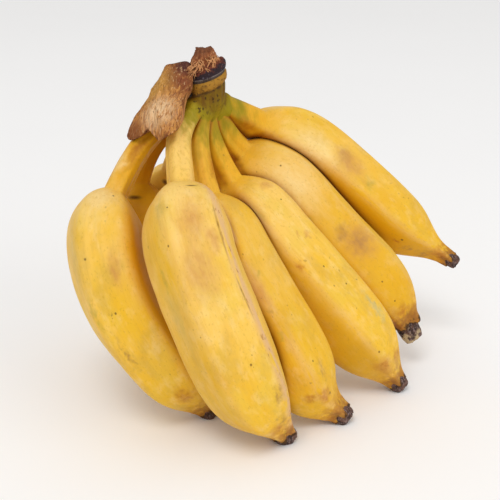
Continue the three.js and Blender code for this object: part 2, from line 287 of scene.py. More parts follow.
class CentreLine:
    """A smooth line through points, read by its share of the length. A closed one returns to its start."""

    STEPS = 40

    def __init__(self, points, closed=False):
        p = [Vector(q) for q in points]
        around = [p[-1], *p, p[0], p[1]] if closed else [2 * p[0] - p[1], *p, 2 * p[-1] - p[-2]]
        spans = len(p) if closed else len(p) - 1
        self.samples = [around[1]]
        for k in range(spans):
            self.samples += [self.between(around[k:k + 4], (j + 1) / self.STEPS) for j in range(self.STEPS)]
        self.lengths = [0.0]
        for a, b in zip(self.samples, self.samples[1:]):
            self.lengths.append(self.lengths[-1] + (b - a).length)
        self.length = self.lengths[-1]

    @staticmethod
    def between(four, x):
        """Centripetal Catmull-Rom curve between the middle two of four points."""
        p0, p1, p2, p3 = four
        d0, d1, d2 = ((b - a).length ** 0.5 for a, b in zip(four, four[1:]))
        m1 = ((p1 - p0) / d0 - (p2 - p0) / (d0 + d1) + (p2 - p1) / d1) * d1
        m2 = ((p2 - p1) / d1 - (p3 - p1) / (d1 + d2) + (p3 - p2) / d2) * d1
        return p1 + m1 * x + (-3 * p1 + 3 * p2 - 2 * m1 - m2) * x ** 2 + (2 * p1 - 2 * p2 + m1 + m2) * x ** 3

    def by_span(self, share):
        """A point by share of the spans, whatever their length."""
        place = clamp(share) * (len(self.samples) - 1)
        k = min(int(place), len(self.samples) - 2)
        return self.samples[k].lerp(self.samples[k + 1], place - k)

    def point(self, share):
        target = clamp(share) * self.length
        low, high = 0, len(self.lengths) - 1
        while high - low > 1:
            middle = (low + high) // 2
            if self.lengths[middle] <= target:
                low = middle
            else:
                high = middle
        span = self.lengths[high] - self.lengths[low]
        on_line = self.samples[low].lerp(self.samples[high], (target - self.lengths[low]) / span)
        if share > 1:
            on_line = on_line + self.tangent(1) * (share - 1) * self.length
        return on_line

    def tangent(self, share):
        step = 0.004
        low = clamp(share, 0, 1 - step)
        return (self.point(low + step) - self.point(max(low - step, 0))).normalized()


def ridge_factor(angle):
    """Blunt five-sided outline, 1 in the middle of each face."""
    total = sum(max(0.0, math.cos(angle - 2 * math.pi * k / RIDGES)) ** RIDGE_POWER for k in range(RIDGES))
    return total ** (-1 / RIDGE_POWER)


def fruit_radius(fruit, t):
    body = clamp((t - fruit["shoulder"]) / (1 - fruit["shoulder"]))
    rise = 1 - (1 - min(body / SHOULDER_SHARE, 1)) ** SHOULDER_POWER
    fall = 1 - math.exp(-(((1 - body) / fruit["taper"]) ** fruit["beak"]))
    thinning = ROOT_THINNING * max(0.0, 1 - t / fruit["shoulder"]) ** 2
    slim = fruit["neck"] - thinning if body < SHOULDER_SHARE else fruit["tip"]
    return slim + (fruit["radius"] - slim) * rise * fall


def ring_frame(line, fruit, t):
    """Centre, up and across directions of the section at a share of the line."""
    tangent = line.tangent(min(t, 1.0))
    back = Vector(fruit["back"])
    up = (back - tangent * back.dot(tangent)).normalized()
    return line.point(t), up, tangent.cross(up), tangent


def off_ridge(fruit, turn):
    """Angle from the nearest ridge, in radians."""
    face = 2 * math.pi / RIDGES
    angle = turn + math.pi - math.radians(fruit["phase"]) + face / 2
    return abs((angle + face / 2) % face - face / 2)


def face_tone_and_shade(fruit, turn):
    """How deep a gold the peel has at this turn: even on a face, changing quickly across a ridge."""
    # The deeper gold is painted shade on the faces turned from the light, with some of the peel's own tone.
    face = 2 * math.pi / RIDGES
    place = (turn + math.pi - math.radians(fruit["phase"])) / face
    k = round(place)
    tones = fruit["faces"]
    here, left, right = tones[k % RIDGES], tones[(k - 1) % RIDGES], tones[(k + 1) % RIDGES]
    off = place - k
    beside = right if off > 0 else left
    return here + (beside - here) * 0.5 * smooth(abs(off), 0.36, 0.5)


# Relief of the peel in millimetres. It lies a little inside the solid's skin, so its bumps stay within it.
PEEL_SINK = -0.45
DENTS = ((0.045, 0.75), (0.13, 0.30))
SEAM_WIDTH = 1.3
FLUTES = 9
FLUTE_DEPTH = 0.12
FOLD_DEPTH = 0.16
FOLD_DENSITY = 2.6
FOLD_REACH = 5
PUCKER_DEPTH = 0.5
PUCKER_REACH = 14


def peel_relief(fruit, line, settings, t, turn, radius, place, seed):
    """Height of the peel's own relief, in millimetres, on top of the plain outline."""
    along = t * line.length
    from_tip = (1 - t) * line.length - fruit["end"][0]
    body = smooth(t, fruit["shoulder"] * 0.8, fruit["shoulder"] * 1.3)
    height = PEEL_SINK
    for density, share in DENTS:
        height += settings.dents / MM * share * noise.noise(place * density + seed)
    # A fine seam rides on each ridge and breaks off here and there.
    arc = off_ridge(fruit, turn) * radius
    broken = smooth(noise.noise(Vector((along * 0.06, turn, 0)) + seed), -0.5, 0.3)
    height += settings.seams / MM * math.exp(-((arc / SEAM_WIDTH) ** 2)) * broken * body
    # Neck flutes run into the crown, and cross folds gather where the neck meets the shoulder.
    height += FLUTE_DEPTH * math.cos(FLUTES * turn + 3 * noise.noise(place * 0.05)) * (1 - body)
    fold = FOLD_DEPTH * math.exp(-(((t - fruit["shoulder"]) * line.length / FOLD_REACH) ** 2))
    waves = math.sin(along * FOLD_DENSITY + 2 * noise.noise(place * 0.2))
    height += fold * waves * (0.5 + 0.5 * math.cos(turn))
    # The ridges pull together at the tip.
    pucker = PUCKER_DEPTH * smooth(PUCKER_REACH - from_tip, 0, PUCKER_REACH)
    height += pucker * math.cos(RIDGES * off_ridge(fruit, turn))
    height += 0.5 * pucker * noise.noise(Vector((math.cos(turn), math.sin(turn), along * 0.08)) * 3 + seed)
    return height


def wrap(bm, sides, rings, place):
    """Adds a closed surface: each point of a sphere goes to place(vertex, turn, ring, pole), in mm."""
    made = bmesh.ops.create_uvsphere(bm, u_segments=sides, v_segments=rings, radius=1.0)["verts"]
    for v in made:
        ring = round(math.acos(clamp(v.co.z, -1, 1)) / math.pi * rings)
        pole = ring in (0, rings)
        turn = 0.0 if pole else math.atan2(v.co.y, v.co.x)
        v.co = place(v, turn, ring, pole) * MM
    bmesh.ops.recalc_face_normals(bm, faces=bm.faces)


def finish_piece(name, bm, material, nodes):
    """Makes the bmesh a smooth shaded piece that stands for the given CAD nodes."""
    bmesh.ops.recalc_face_normals(bm, faces=bm.faces)
    for face in bm.faces:
        face.smooth = True
    mesh = bpy.data.meshes.new(name)
    bm.to_mesh(mesh)
    bm.free()
    mesh.materials.append(material)
    piece = bpy.data.objects.new(name, mesh)
    bpy.context.scene.collection.objects.link(piece)
    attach(piece, "root")
    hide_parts(*nodes)
    return piece


# The peel turns in over the rim of its tip: how far in and how far forward each closing ring lies.
TIP_LIP = [(0.2, 0.15), (0.7, 0.1), (1.1, -0.6), (1.4, -2.0)]
# How ragged the rim is over its last millimetres, and how ragged and flared where it is torn.
RIM_EDGE = 6
RIM_RAGGED = 0.6
TORN_RAGGED = 2.6
TORN_FLARE = 1.6
# Along the neck, in millimetres: where a fruit starts to give way to others, and where the painted shade
# of its faces starts. Below them, the share of that shade that the neck keeps.
BARE_NECK = (22, 34)
FACE_SHADE_START = (14, 28)
NECK_FACE_SHADE = 0.7
# A neighbour is looked for up to CONTACT_REACH off, but only pushes what lies within CONTACT_NEAR. Painted
# shade makes the peel a deeper gold up to the shade reach below from it, and on a neck up to a share of that.
CONTACT_REACH = 14
CONTACT_NEAR = 4
CONTACT_SOFTNESS = 0.5
GAP_SHADE_REACH = 8
GAP_SHADE_NECK = 0.6
# The rubbed seam: its half width, where the body starts in shares of the shoulder, and how much of the seam
# shows on the other ridges than the crest.
SEAM_BAND = 2.2
BODY_START = (0.75, 1.35)
SIDE_SEAMS = 0.15


def settle(bm, neighbours):
    """Where a fruit presses on an earlier one, it gives way to it and keeps a thin gap."""
    straight = bm.verts.layers.float_vector["straight"]
    for v in bm.verts:
        share = smooth(v[straight].z / MM, *BARE_NECK)
        for tree in neighbours if share > 0 else ():
            near, normal, _, distance = tree.find_nearest(v.co, CONTACT_REACH * MM)
            if near is None:
                continue
            away = v.co - near
            outside = away.dot(normal) >= 0
            depth = (distance if outside else -distance) / MM
            if depth > CONTACT_NEAR:
                continue
            way = normal if distance < 1e-6 else away.normalized() * (1 if outside else -1)
            wanted = GAP + CONTACT_SOFTNESS * math.log1p(math.exp((depth - GAP) / CONTACT_SOFTNESS))
            v.co += way * (wanted - depth) * share * MM
        v.co.z = max(v.co.z, 0.0)


def mark_gap_shade(bm, others):
    """Marks how close each point lies to another fruit, where painted shade makes the peel a deeper gold."""
    straight = bm.verts.layers.float_vector["straight"]
    pressed = bm.verts.layers.float["pressed"]
    for v in bm.verts:
        on_body = smooth(v[straight].z / MM, *BARE_NECK)
        reach = GAP_SHADE_REACH * (GAP_SHADE_NECK + (1 - GAP_SHADE_NECK) * on_body)
        for tree in others:
            near, normal, _, distance = tree.find_nearest(v.co, reach * MM)
            if near is not None:
                inside = (v.co - near).dot(normal) < 0
                v[pressed] = max(v[pressed], 1.0 if inside else 1 - smooth(distance / MM, 0, reach))


def make_fruit(fruit, index, settings, neighbours):
    """One banana: peel from inside the crown to the rim of its flower end."""
    line = CentreLine(fruit["path"])
    end = 1 - (fruit["end"][0] - PEEL_OVERLAP) / line.length
    rings = settings.rings
    wall = rings - len(TIP_LIP) - 1
    torn = fruit["torn"]
    seed = Vector((index * 7.3, index * 3.1, index * 1.7))
    frames = [ring_frame(line, fruit, end * min(ring, wall) / wall) for ring in range(rings + 1)]
    bm = bmesh.new()
    layers = bm.verts.layers
    straight = layers.float_vector.new("straight")
    layers.float.new("pressed")
    deep = layers.float.new("deep")
    ridge, body, pale, to_tip = (layers.float.new(name) for name in ("ridge", "body", "pale", "to_tip"))

    def place(v, turn, ring, pole):
        t = end * min(ring, wall) / wall
        centre, up, across, tangent = frames[ring]
        plain = fruit_radius(fruit, t)
        along = t * line.length
        inset, forward = (0.0, 0.0) if ring <= wall else TIP_LIP[min(ring - wall, len(TIP_LIP)) - 1]
        edge = smooth(t, end - RIM_EDGE / line.length, end)
        section = turn + math.pi - math.radians(fruit["phase"])
        radius = 0.0
        if not pole:
            skin = Vector((plain * math.cos(turn), plain * math.sin(turn), along))
            radius = plain * ridge_factor(section) - inset
            radius += peel_relief(fruit, line, settings, t, turn, plain, skin, seed)
            radius += torn * TORN_FLARE * edge ** 2
            ragged = (TORN_RAGGED if torn else RIM_RAGGED) * edge
            forward += ragged * noise.noise(Vector((math.cos(turn), math.sin(turn), index)) * 2.3)
        v[straight] = Vector((plain * math.cos(turn), plain * math.sin(turn), along)) * MM
        seam = math.exp(-((off_ridge(fruit, turn) * plain / SEAM_BAND) ** 2))
        v[body] = smooth(t, *(fruit["shoulder"] * share for share in BODY_START))
        on_crest = abs((math.degrees(turn) - fruit["crest"] + 180) % 360 - 180) < 180 / RIDGES
        v[ridge] = seam * v[body] * (1.0 if on_crest else SIDE_SEAMS)
        # Painted shade on the faces turned from the light, less of it on the neck.
        neck_share = NECK_FACE_SHADE + (1 - NECK_FACE_SHADE) * v[body]
        v[deep] = face_tone_and_shade(fruit, turn) * neck_share * smooth(along, *FACE_SHADE_START)
        v[pale] = fruit["pale"]
        v[to_tip] = (end - t) * line.length * MM
        return centre + tangent * forward - up * radius * math.cos(turn) + across * radius * math.sin(turn)

    wrap(bm, settings.sides, rings, place)
    settle(bm, neighbours)
    return bm


# Flower end: width at each share of its length, how much it is lobed and nicked, and how deep its face is.
END_ROOT = 2.6
END_SHARES = (0, 0.25, 0.55, 0.85, 1)
END_WIDTHS = (0.74, 0.93, 0.97, 0.9, 0.78)
END_LOBES = 0.07
END_NICKS = 0.04
PEEL_OVERLAP = 1.2
END_SIDES = 72
END_WALL = 26
END_FACE = 18
END_HOLLOW = 1.5


def between_rows(shares, values, share):
    """Straight-line value between the rows of a small table."""
    for a, b, va, vb in zip(shares, shares[1:], values, values[1:]):
        if share <= b:
            return va + (vb - va) * (share - a) / (b - a)
    return values[-1]


def make_flower_end(fruit, index):
    """The withered flower: a short ragged plug in the rim of the peel, hollow at its free end."""
    line = CentreLine(fruit["path"])
    depth, width = fruit["end"]
    start = 1 - (depth + END_ROOT) / line.length
    end = 1 + (END_OVERHANG - 0.3) / line.length
    rings = END_WALL + END_FACE
    seed = Vector((index * 5.7, 2.0, index * 2.9))
    bm = bmesh.new()
    inner = bm.verts.layers.float.new("inner")

    def place(v, turn, ring, pole):
        share = min(ring / END_WALL, 1)
        inward = max(ring - END_WALL, 0) / END_FACE
        t = start + (end - start) * share
        centre, up, across, tangent = ring_frame(line, fruit, t)
        lobes = END_LOBES * math.sin(3 * turn + 1.7 * index) + END_NICKS * math.cos(5 * turn + index)
        radius = fruit["tip"] * width * between_rows(END_SHARES, END_WIDTHS, share) * (1 + share * lobes)
        around = Vector((math.cos(turn), math.sin(turn), 0))
        radius += 0.3 * share * noise.noise(around * 3.4 + seed + Vector((0, 0, share * 1.2)))
        radius *= 1 - inward
        grain = around * (1 - inward) * 4 + seed
        forward = -END_HOLLOW * math.sin(inward * math.pi / 2)
        forward += share * (0.5 * noise.noise(grain * 1.1) + 0.3 * noise.noise(grain * 2.7) - 0.4)
        if pole:
            radius = 0.0
            forward = 0.0 if ring == 0 else -END_HOLLOW
        v[inner] = inward
        return centre + tangent * forward - up * radius * math.cos(turn) + across * radius * math.sin(turn)

    wrap(bm, END_SIDES, rings, place)
    for v in bm.verts:
        v.co.z = max(v.co.z, 0.0)
    return bm


# Crown: the core and a stub of each neck are joined, smoothed, and laid over the necks.
STUB_SIDES = 32
STUB_RINGS = 24
STUB_SWELL = 0.5
STUB_DIVE = 1.6
CROWN_SMOOTHINGS = 5
CROWN_COVER = 0.15
GROOVE_DEPTH = 0.03
CREASE_DEPTH = 0.35
CREASE_WIDTH = 0.55
# Round the crown's reach: where its flesh thins out over the necks, and how far one neck's paleness blends.
COVER_FADE = (-5, 3)
PALE_BLEND = 1.2
# Streaks of the flesh: waves a millimetre in x, y and z, and their height. Crumbs: waves and height.
FLESH_STREAKS = (0.55, 0.55, 0.06)
STREAK_HEIGHT = 0.35
CRUMBS = 0.9
CRUMB_HEIGHT = 0.12
CROWN_MIDDLE = (-34, 22, 146)


def collar_height(co):
    """Height in millimetres once the collar's tilt is taken off."""
    right, back = co.x / MM - COLLAR["x"], co.y / MM - COLLAR["y"]
    return co.z / MM - COLLAR["slope"] * (right + BACK_RISE * back)


def stack_place(rows, waves):
    """Placing function for wrap over a table of oval rings."""
    def place(v, turn, ring, pole):
        x, y, z, half_x, half_y, slope = rows[min(max(ring - 1, 0), len(rows) - 1)]
        size = 0 if pole else 1 + waves(turn, ring)
        right, back = half_x * size * math.cos(turn), half_y * size * math.sin(turn)
        return Vector((x + right, y + back, z + slope * (right + BACK_RISE * back)))
    return place


def make_crown(settings, necks):
    """Flesh where all the necks grow together, with the collar on top. Necks are the fruits' trees."""
    reach = settings.reach / MM
    bm = bmesh.new()
    wrap(bm, STUB_SIDES * 2, len(CROWN_RINGS) + 1, stack_place(CROWN_RINGS, lambda turn, ring: 0))
    for fruit in FRUITS:
        line = CentreLine(fruit["path"])

        def place(v, turn, ring, pole, line=line, fruit=fruit):
            share = clamp((ring - 1) / (STUB_RINGS - 2))
            t = share * reach / line.length
            centre, up, across, _ = ring_frame(line, fruit, t)
            radius = fruit_radius(fruit, t) * ridge_factor(turn + math.pi - math.radians(fruit["phase"]))
            radius += STUB_SWELL - (STUB_SWELL + STUB_DIVE) * smooth(share, 0.3, 1.0)
            radius = 0 if pole else radius
            return centre - up * radius * math.cos(turn) + across * radius * math.sin(turn)

        wrap(bm, STUB_SIDES, STUB_RINGS, place)
    bm = remeshed(bm, settings.grain)
    for _ in range(CROWN_SMOOTHINGS):
        bmesh.ops.smooth_vert(
            bm, verts=bm.verts, factor=0.5, use_axis_x=True, use_axis_y=True, use_axis_z=True)
    pale = bm.verts.layers.float.new("pale")
    groove = bm.verts.layers.float.new("groove")
    middle = Vector(CROWN_MIDDLE) * MM
    bm.normal_update()
    # How far each point lies in a hollow, for painted shade in the grooves.
    for v in bm.verts:
        around = [edge.other_vert(v).co for edge in v.link_edges]
        hollow = (sum(around, Vector()) / len(around) - v.co).dot(v.normal)
        v[groove] = clamp(hollow / MM / GROOVE_DEPTH)
    for v in bm.verts:
        cover = 1 - smooth((v.co - middle).length / MM, *(reach + step for step in COVER_FADE))
        weights = []
        for tree in necks:
            near, normal, _, distance = tree.find_nearest(v.co)
            depth = math.copysign(distance, (v.co - near).dot(normal)) / MM
            weights.append(math.exp(-clamp(depth, 0, 20) / PALE_BLEND))
            if depth < CROWN_COVER:
                v.co += normal * (CROWN_COVER - depth) * cover * MM
        v[pale] = sum(w * f["pale"] for w, f in zip(weights, FRUITS)) / max(sum(weights), 1e-9)
    bm.normal_update()
    for v in bm.verts:
        high = collar_height(v.co) - COLLAR["crease"]
        place = v.co / MM
        rise = -CREASE_DEPTH * math.exp(-((high / CREASE_WIDTH) ** 2))
        flesh = smooth(high, 0, -3)
        streaks = Vector([a * b for a, b in zip(place, FLESH_STREAKS)])
        rise += flesh * STREAK_HEIGHT * noise.noise(streaks) + CRUMB_HEIGHT * noise.noise(place * CRUMBS)
        v.co += v.normal * rise * MM
    return bm


def remeshed(bm, grain):
    """One even skin round all the bodies of a bmesh."""
    mesh = bpy.data.meshes.new("rough")
    bm.to_mesh(mesh)
    bm.free()
    rough = bpy.data.objects.new("rough", mesh)
    bpy.context.scene.collection.objects.link(rough)
    remesh = rough.modifiers.new("even", "REMESH")
    remesh.mode = "VOXEL"
    remesh.voxel_size = grain
    depsgraph = bpy.context.evaluated_depsgraph_get()
    even = bpy.data.meshes.new_from_object(rough.evaluated_get(depsgraph))
    skin = bmesh.new()
    skin.from_mesh(even)
    bpy.data.objects.remove(rough)
    bpy.data.meshes.remove(mesh)
    bpy.data.meshes.remove(even)
    return skin


STALK_SIDES = 120
STALK_STEPS = 9
# The sheath stands up past the cut on the right: where, over how wide an angle, how far and how far out.
LIP = {"turn": 25, "spread": 38, "rise": 2.2, "radius": (6.2, 8)}
# Loose fibres of the tear hang over the cut's front, and reach across to the husk: how many, between which
# turns and heights they grow, their length, how far they drift round, and how far they reach out and hang.
FIBRE_TUFTS = (
    {"count": 60, "turn": (-165, -20), "foot": (160.5, 165.5), "length": (3, 6), "drift": (-0.7, 0.7),
     "reach": 2, "sag": 0.7},
    {"count": 24, "turn": (-150, -112), "foot": (160.5, 163.5), "length": (4.5, 7.5), "drift": (-0.9, 0.1),
     "reach": 6.4, "sag": 0.35},
)
# Shape of each fibre: share of its length, how far out and how far down it is there.
FIBRE_CURVE = ((0, -0.8, 0), (0.35, 0.5, 0.12), (0.7, 0.8, 0.5), (1, 1.0, 1.0))
FIBRE_FOOT = 5.4
FIBRE_TILT = 0.3
FIBRE_HALF = 0.26
FIBRE_SIDES = 6
FIBRE_RINGS = 14
FIBRE_SEED = 4


def loose_fibre(bm, points, half):
    """One torn fibre: a thin strand round a curve, pointed at both ends."""
    line = CentreLine(points)
    loose = bm.verts.layers.float["loose"]

    def place(v, turn, ring, pole):
        share = ring / FIBRE_RINGS
        along = line.tangent(share)
        side = along.orthogonal().normalized()
        thick = 0 if pole else half * math.sin(math.pi * share) ** 0.5
        v[loose] = 1.0
        return line.point(share) + thick * (side * math.cos(turn) + along.cross(side) * math.sin(turn))

    wrap(bm, FIBRE_SIDES, FIBRE_RINGS, place)


def fray(bm):
    """Tufts of torn fibre that curl out of the stump and lie over the cut, more of them towards the husk."""
    draw = random.Random(FIBRE_SEED)
    for tuft in FIBRE_TUFTS:
        for _ in range(tuft["count"]):
            drawn = [draw.uniform(*tuft[key]) for key in ("turn", "foot", "length", "drift")]
            turn, foot, length, drift = drawn
            points = []
            for share, out, drop in FIBRE_CURVE:
                reach = FIBRE_FOOT + out * tuft["reach"]
                angle = math.radians(turn) + drift * share
                x, y = math.cos(angle) * reach, math.sin(angle) * reach
                height = foot + FIBRE_TILT * x - drop * length * tuft["sag"]
                points.append((STALK_TOP["x"] + x, STALK_TOP["y"] + y, height))
            loose_fibre(bm, points, FIBRE_HALF * draw.uniform(0.6, 1.35))


def make_stalk_end():
    """Cut stalk: a dark disc with a thin lip, and a torn stump of dry fibre with two peaks."""
    rows = []
    for a, b in zip(STALK_RINGS, STALK_RINGS[1:]):
        rows += [tuple(p + (q - p) * j / STALK_STEPS for p, q in zip(a, b)) for j in range(STALK_STEPS)]
    rows.append(STALK_RINGS[-1])
    fibre_rows = 4 * STALK_STEPS

    def ragged(turn, ring):
        dry = smooth(ring, fibre_rows + 6, fibre_rows - 8)
        around = Vector((math.cos(turn), math.sin(turn), 0))
        lobes = 0.1 * (math.sin(3 * turn + 0.1 * ring) + 0.7 * math.cos(7 * turn - 0.11 * ring))
        fibres = 0.16 * noise.noise(around * 7 + Vector((0, 0, ring * 0.05)))
        crumbs = 0.08 * noise.noise(around * 3 + Vector((5, 0, ring * 0.3)))
        return dry * (0.8 * lobes + fibres + crumbs) - 0.02

    bm = bmesh.new()
    bm.verts.layers.float.new("loose")
    wrap(bm, STALK_SIDES, len(rows) + 1, stack_place(rows, ragged))
    for v in bm.verts:
        x, z = v.co.x / MM, v.co.z / MM
        top = smooth(z, STALK_TOP["z"] - 3, STALK_TOP["z"])
        wave = (x - STALK_TOP["x"]) * STALK_TOP["spacing"] + STALK_TOP["phase"]
        peaks = STALK_TOP["height"] * math.cos(wave)
        torn = 0.9 * noise.noise(Vector((x * 0.9, v.co.y / MM * 0.9, 3)))
        right, back = x - COLLAR["x"], v.co.y / MM - COLLAR["y"]
        turn = math.degrees(math.atan2(back, right))
        lip = math.exp(-(((turn - LIP["turn"]) / LIP["spread"]) ** 2))
        lip *= smooth(math.hypot(right, back), *LIP["radius"])
        lip *= smooth(z, STALK_RINGS[-2][2], STALK_RINGS[-3][2] + 1)
        v.co.z += (top * (peaks + torn - 1.0) + LIP["rise"] * lip) * MM
    fray(bm)
    return bm


HUSK_SIDES = 160
HUSK_RINGS = 90
# Relief of the husk: waves a millimetre across, out and along, and their height, for its fibres, lumps,
# crumbs and strands.
HUSK_RELIEF = (
    ((1.1, 0.5, 0.12), 0.5), ((0.28, 0.28, 0.28), 0.6), ((0.8, 0.8, 0.8), 0.3), ((2.4, 0.8, 0.3), 0.35))
HUSK_SINK = -0.3


def husk_frame():
    """Directions along, across and out of the husk."""
    out = Vector(HUSK_OUTWARD).normalized()
    along = Vector(HUSK_EDGE[9]) - Vector(HUSK_EDGE[0])
    along = (along - out * along.dot(out)).normalized()
    return along, along.cross(out), out


def make_husk():
    """Dry strip of stalk skin over the crown: thick, fibrous along its length, with a rolled edge."""
    edge = CentreLine(HUSK_EDGE, closed=True)
    middle = Vector(HUSK_MIDDLE)
    along, across, out = husk_frame()
    half = HUSK_RINGS / 2
    bm = bmesh.new()
    grain = bm.verts.layers.float_vector.new("grain")
    rim = bm.verts.layers.float.new("rim")

    def place(v, turn, ring, pole):
        spread = math.sin(math.pi * ring / HUSK_RINGS) ** HUSK_FULLNESS
        front = ring < half
        thick = clamp((half - ring) / 4, -1, 1) * HUSK_RIM / 2
        swell = (HUSK_BULGE if front else -HUSK_DEPTH) * (1 - spread ** 2)
        crease = 0.5 * spread * math.sin(5 * turn)
        point = edge.by_span(1 - (turn / (2 * math.pi)) % 1) - middle
        point = middle + point * (0 if pole else spread) + out * (swell + thick + crease)
        local = Vector((point.dot(across), point.dot(out), point.dot(along)))
        v[grain] = local * MM
        v[rim] = spread
        relief = HUSK_SINK
        for density, height in HUSK_RELIEF:
            relief += height * noise.noise(Vector([a * b for a, b in zip(local, density)]))
        return point + out * relief * (1 if front else -0.4)

    wrap(bm, HUSK_SIDES, HUSK_RINGS, place)
    return bm


def add(tree, kind, links=None, out=0, **settings):
    """Adds a node with its settings, fills or links its sockets, and returns one of its outputs."""
    node = tree.nodes.new(kind)
    for key, value in settings.items():
        setattr(node, key, value)
    for key, value in (links or {}).items():
        if isinstance(value, bpy.types.NodeSocket):
            tree.links.new(value, node.inputs[key])
        else:
            node.inputs[key].default_value = value
    return node.outputs[out]


def new_finish(name, even):
    """A material with its node tree and its shader, which is given what is the same all over."""
    material = bpy.data.materials.new(name)
    material.use_nodes = True
    shader = material.node_tree.nodes["Principled BSDF"]
    for socket, value in even.items():
        shader.inputs[socket].default_value = value
    return material, material.node_tree, shader


def paint(tree, shader, base, coats):
    """Colours the surface: coats over a base, each a mask and a colour, which is sRGB hex or a setting."""
    base = linear(base) if isinstance(base, str) else tuple(base)
    for mask, colour in coats:
        colour = linear(colour) if isinstance(colour, str) else tuple(colour)
        base = add(tree, "ShaderNodeMix", {0: mask, 6: base, 7: colour}, out=2, data_type="RGBA")
    tree.links.new(base, shader.inputs["Base Color"])


def roughen(tree, shader, patterns, strength, depth):
    """Bumps the surface with the sum of some patterns. Depth is in millimetres."""
    height = total(tree, *patterns)
    bump = add(tree, "ShaderNodeBump", {"Height": height, "Strength": strength, "Distance": depth * MM})
    tree.links.new(bump, shader.inputs["Normal"])


def total(tree, *values, operation="ADD"):
    """Sum of values and outputs, or their product."""
    result = values[0]
    for value in values[1:]:
        result = add(tree, "ShaderNodeMath", {0: result, 1: value}, operation=operation)
    return result


def both(tree, *masks):
    """What all the masks have in common."""
    return total(tree, *masks, operation="MULTIPLY")


def blotches(tree, coords, size, low, high, strength=1.0, detail=3.0, start=0.0):
    """Mask of soft uneven patches. Size is mm in x, y and z, low and high set how much they cover."""
    stretch = tuple(1 / (side * MM) for side in size)
    cells = add(tree, "ShaderNodeMapping", {
        "Vector": coords, "Location": (start, start * 0.7, start * 1.3), "Scale": stretch})
    cloud = add(tree, "ShaderNodeTexNoise", {
        "Vector": cells, "Scale": 1.0, "Detail": detail, "Roughness": 0.55})
    return fade(tree, cloud, high, low, strength)


def fade(tree, value, full, none, strength=1.0):
    """Mask that is full where the value is at one end and gone at the other."""
    return add(tree, "ShaderNodeMapRange", {
        "Value": value, "From Min": none, "From Max": full, "To Max": strength,
    }, interpolation_type="SMOOTHSTEP")


def patch(tree, where, place, full, none, strength=1.0, waver=None):
    """Mask that is full round a place and gone further out, in millimetres. Waver makes its edge uneven."""
    far = add(tree, "ShaderNodeVectorMath", {0: where, 1: Vector(place) * MM}, out=1, operation="DISTANCE")
    far = far if waver is None else total(tree, far, waver)
    return fade(tree, far, full * MM, none * MM, strength)


# Peel marks: colour, strength, how sharp the edge is (0 soft, 1 hard) and how broken the inside is.
MARKS = {
    "bruise": ("C98D4C", 0.72, 0.0, 0.3),
    "brown": ("A87A45", 0.66, 0.05, 0.3),
    # Wax marks are partly the peel's pale wax bloom and partly painted highlight on lit upper sides.
    "wax": ("F7DCA0", 0.6, 0.0, 0.25),
    "crease": ("4A2A0E", 0.85, 0.1, 0.0),
    "split": ("7A4A1C", 0.7, 0.2, 0.5),
    "olive": ("A3913A", 0.5, 0.1, 0.5),
    # Tinge marks are olive-grey along a fruit's edge: partly the peel's own mottling and partly painted
    # shade.
    "tinge_and_shade": ("B59C56", 0.42, 0.0, 0.3),
    "bluish": ("A9AE86", 0.6, 0.2, 0.4),
    "rust": ("B4661A", 0.8, 0.0, 0.4),
    "scuff": ("94683F", 0.6, 0.1, 0.7),
    "speck": ("553716", 0.8, 0.3, 0.0),
    # The gold mark is painted shade, a deep gold, on a flank that lies in the gap against the next fruit.
    "gold": ("E39C08", 0.8, 0.0, 0.2),
    # Hollow marks are painted shade in the crevices where a neck meets the next fruit's shoulder.
    "hollow": ("A25C06", 0.8, 0.0, 0.15),
}
# Marks whose outline is drawn as it is, the others' wanders.
CLEAN_MARKS = ("speck", "crease", "split")
# How far the outline of the others wanders round and along the fruit, in millimetres, and how often a metre.
WANDER_REACH = (6, 6, 8)
WANDER_DENSITY = 260.0


def mark_coats(tree, fruit, skin):
    """One coat for each of the fruit's marks, with a wavy outline."""
    line = CentreLine(fruit["path"])
    shaken = add(tree, "ShaderNodeTexNoise", {"Vector": skin, "Scale": WANDER_DENSITY, "Detail": 2.0}, out=1)
    for operation, vector in (
        ("ADD", (-0.5, -0.5, -0.5)), ("MULTIPLY", Vector(WANDER_REACH) * MM), ("ADD", skin),
    ):
        shaken = add(tree, "ShaderNodeVectorMath", {0: shaken, 1: vector}, operation=operation)
    crumbs = blotches(tree, skin, (1.7, 1.7, 3.2), 0.38, 0.66, detail=4.0)
    coats = []
    for kind, along, turn, long, wide in fruit["marks"]:
        colour, strength, hard, broken = MARKS[kind]
        radius = fruit_radius(fruit, along / line.length)
        angle = math.radians(turn)
        centre = Vector((radius * math.cos(angle), radius * math.sin(angle), along)) * MM
        around = skin if kind in CLEAN_MARKS else shaken
        offset = add(tree, "ShaderNodeVectorMath", {0: around, 1: centre}, operation="SUBTRACT")
        shares = (1 / (wide * MM), 1 / (wide * MM), 1 / (long * MM))
        shares = add(tree, "ShaderNodeVectorMath", {0: offset, 1: shares}, operation="MULTIPLY")
        far = add(tree, "ShaderNodeVectorMath", {0: shares}, out=1, operation="LENGTH")
        spot = fade(tree, far, hard, 1.0, strength)
        if broken:
            gaps = add(tree, "ShaderNodeMapRange", {"Value": crumbs, "To Min": 1 - broken})
            spot = both(tree, spot, gaps)
        coats.append((spot, colour))
    return coats


